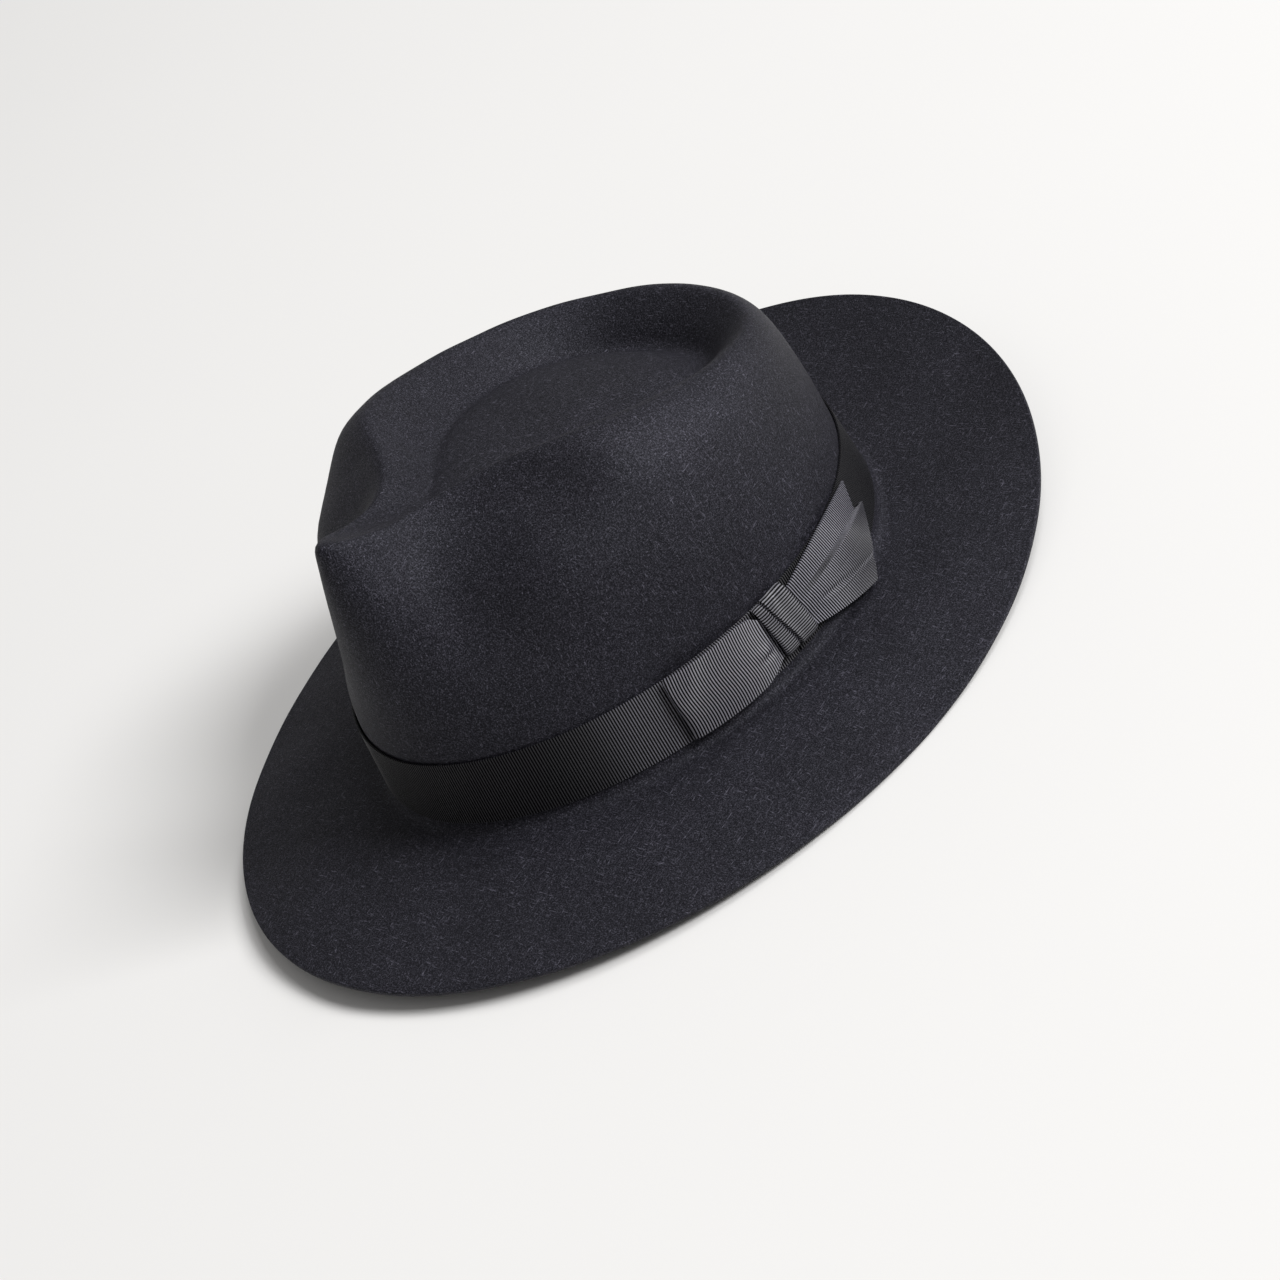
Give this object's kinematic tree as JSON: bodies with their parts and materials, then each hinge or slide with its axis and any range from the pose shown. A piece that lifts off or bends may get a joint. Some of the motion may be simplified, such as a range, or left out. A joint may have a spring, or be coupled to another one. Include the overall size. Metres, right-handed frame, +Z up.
{
  "type": "fedora hat",
  "caption": "Pinch-front felt hat with a teardrop crown, a snap brim, a grosgrain band with a side bow, a leather sweatband and a satin lining.",
  "frame": {"origin": "middle of the head opening, level with the break between the brim and the crown", "axes": "+Z up the crown, -Y towards the front of the hat (the pinched end), +X towards the wearer's left, where the bow is"},
  "size_m": [0.2872, 0.3328, 0.1202],
  "materials": {
    "felt": "charcoal fur felt, brushed nap, raw cut edge",
    "grosgrain": "near-black ribbed grosgrain ribbon with a low sheen",
    "leather": "smooth dark brown roan leather, satin",
    "reed": "off-white flexible reed",
    "tape": "black woven tape",
    "thread": "black waxed thread",
    "satin_ribbon": "black satin ribbon",
    "label": "cream woven label, blank",
    "satin": "dark lustrous satin",
    "piping": "dark satin over a thin cord"
  },
  "bodies": {
    "root": {"felt_body": "felt", "hatband_ribbon": "grosgrain", "bow_loop": "grosgrain", "bow_tail": "grosgrain", "bow_knot": "grosgrain", "sweatband": "leather", "sweatband_reed": "reed", "sweatband_reed_tape": "tape", "sweatband_stitching": "thread", "sweatband_seam_tab": "tape", "sweatband_rear_bow": "satin_ribbon", "size_label": "label", "lining_side": "satin", "lining_piping": "piping", "lining_tip": "satin"}
  },
  "joints": []
}
